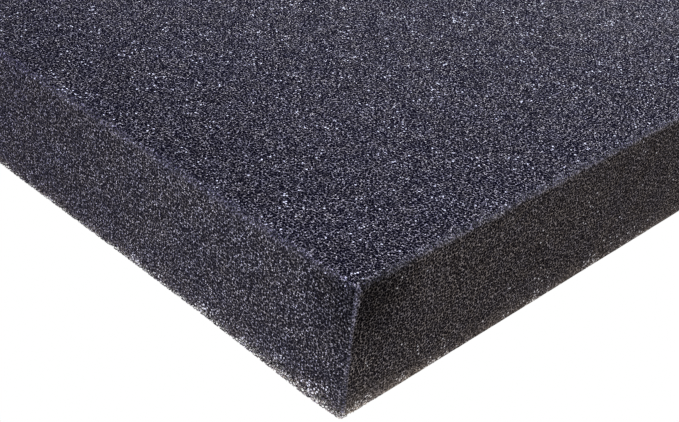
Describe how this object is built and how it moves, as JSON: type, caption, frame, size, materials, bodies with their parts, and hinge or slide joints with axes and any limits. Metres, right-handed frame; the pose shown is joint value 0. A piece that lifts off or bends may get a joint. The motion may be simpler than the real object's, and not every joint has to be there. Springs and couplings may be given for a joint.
{
  "type": "filter sponge",
  "caption": "Flat square pad of charcoal open-cell foam that strains particles from the air or water passing through it.",
  "frame": {"origin": "middle of the underside, where the pad rests", "axes": "+Z is the thickness, upwards from the underside; +X is the length and +Y the width, along the cut sides"},
  "size_m": [0.15, 0.15, 0.025],
  "materials": {
    "foam": "matte open-cell polyurethane foam, charcoal black, with fine bright struts round dark pores"
  },
  "bodies": {
    "root": {"filter_sponge": "foam"}
  },
  "joints": []
}
